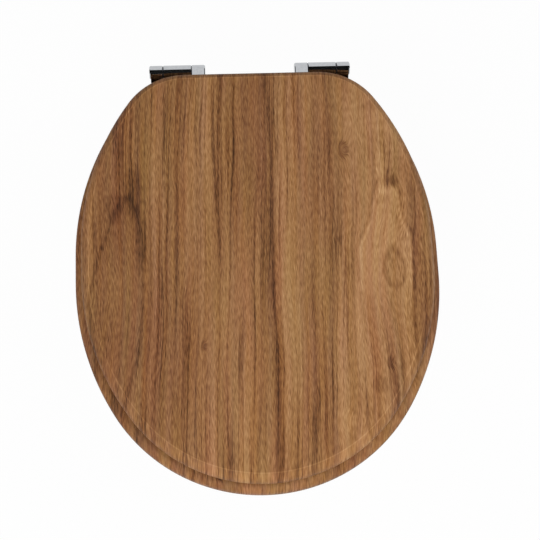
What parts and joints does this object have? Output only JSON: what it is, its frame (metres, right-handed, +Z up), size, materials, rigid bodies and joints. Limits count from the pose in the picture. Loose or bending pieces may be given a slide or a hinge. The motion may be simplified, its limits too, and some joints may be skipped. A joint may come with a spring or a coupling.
{
  "type": "toilet seat",
  "caption": "Oval wood-effect toilet seat: a round-edged lid over a slightly larger ring, on bright barrel hinges with soft-close dampers, held to the pan by studs and wing nuts.",
  "frame": {"origin": "midway between the two fixing studs, on the plane of the pan's top, under the base gaskets", "axes": "+X to the right of a person facing the seat, +Y to the rear of the pan, +Z up; the hinge axis runs along X straight above the studs"},
  "size_m": [0.375, 0.4667, 0.114],
  "materials": {
    "wood_board": "satin foil with a printed wood grain that runs front to back",
    "bright_chrome": "polished chrome plate",
    "plated_steel": "bright zinc plate",
    "buffer_rubber": "pale soft rubber",
    "dark_rubber": "dark soft rubber",
    "white_nylon": "moulded white nylon",
    "damper_plastic": "moulded dark plastic"
  },
  "bodies": {
    "fixed_hinges": {"hinge_body_left": "bright_chrome", "hinge_body_right": "bright_chrome", "damper_body_left": "damper_plastic", "damper_body_right": "damper_plastic", "hinge_pin_left": "plated_steel", "hinge_pin_right": "plated_steel", "base_gaskets": "dark_rubber", "fixing_studs": "plated_steel", "cone_washers": "dark_rubber", "flat_washers": "plated_steel", "wing_nuts": "white_nylon"},
    "ring": {"seat_ring": "wood_board", "ring_buffers": "buffer_rubber", "ring_bracket_left": "bright_chrome", "ring_bracket_right": "bright_chrome", "ring_bracket_screws": "plated_steel", "damper_shaft_right": "white_nylon"},
    "lid": {"lid": "wood_board", "lid_buffers": "buffer_rubber", "lid_bracket_left": "bright_chrome", "lid_bracket_right": "bright_chrome", "lid_bracket_screws": "plated_steel", "damper_shaft_left": "white_nylon"}
  },
  "joints": [
    {"name": "ring_hinge", "type": "hinge", "parent": "fixed_hinges", "child": "ring", "pos_m": [0, 0, 0.02875], "axis": [-1, 0, 0], "range_deg": [0, 95]},
    {"name": "lid_hinge", "type": "hinge", "parent": "ring", "child": "lid", "pos_m": [0, 0, 0.02875], "axis": [-1, 0, 0], "range_deg": [0, 100]}
  ]
}
